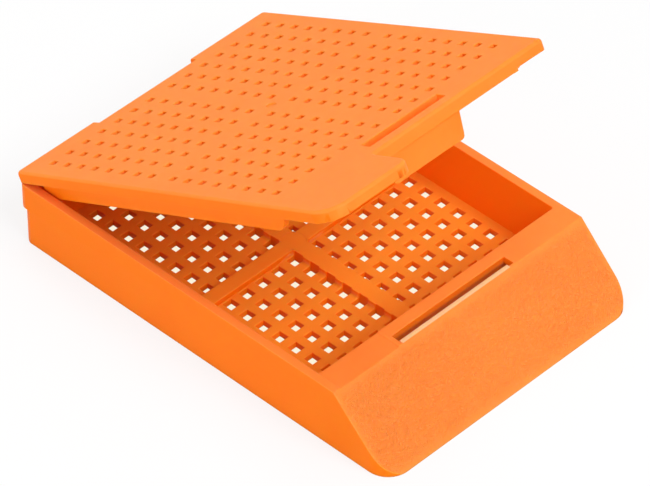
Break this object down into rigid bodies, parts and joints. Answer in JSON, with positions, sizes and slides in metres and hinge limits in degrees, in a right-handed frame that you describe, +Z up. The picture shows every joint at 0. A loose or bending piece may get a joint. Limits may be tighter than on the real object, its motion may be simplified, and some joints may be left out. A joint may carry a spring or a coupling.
{
  "type": "tissue cassette",
  "caption": "Shallow rectangular tray with a perforated floor and a sloped writing face, and a perforated lid that swings on a hinge at the back and latches in a slot at the front",
  "frame": {"origin": "Centre of the bounding box's footprint, on the surface that the tray stands on", "axes": "+X runs across the cassette, +Y along it towards the hinge, with the writing face at -Y, and +Z is up"},
  "size_m": [0.0284, 0.0412, 0.0236],
  "materials": {
    "tray": "orange moulded acetal, satin, with a fine grain on the writing face",
    "lid": "orange moulded acetal, satin"
  },
  "bodies": {
    "tray_body": {"tray": "tray"},
    "lid_body": {"lid": "lid"}
  },
  "joints": [
    {"name": "lid_hinge", "type": "hinge", "parent": "tray_body", "child": "lid_body", "pos_m": [0, 0.01985, 0.0049], "axis": [-1, 0, 0], "range_deg": [-25.7, 101.9]}
  ]
}
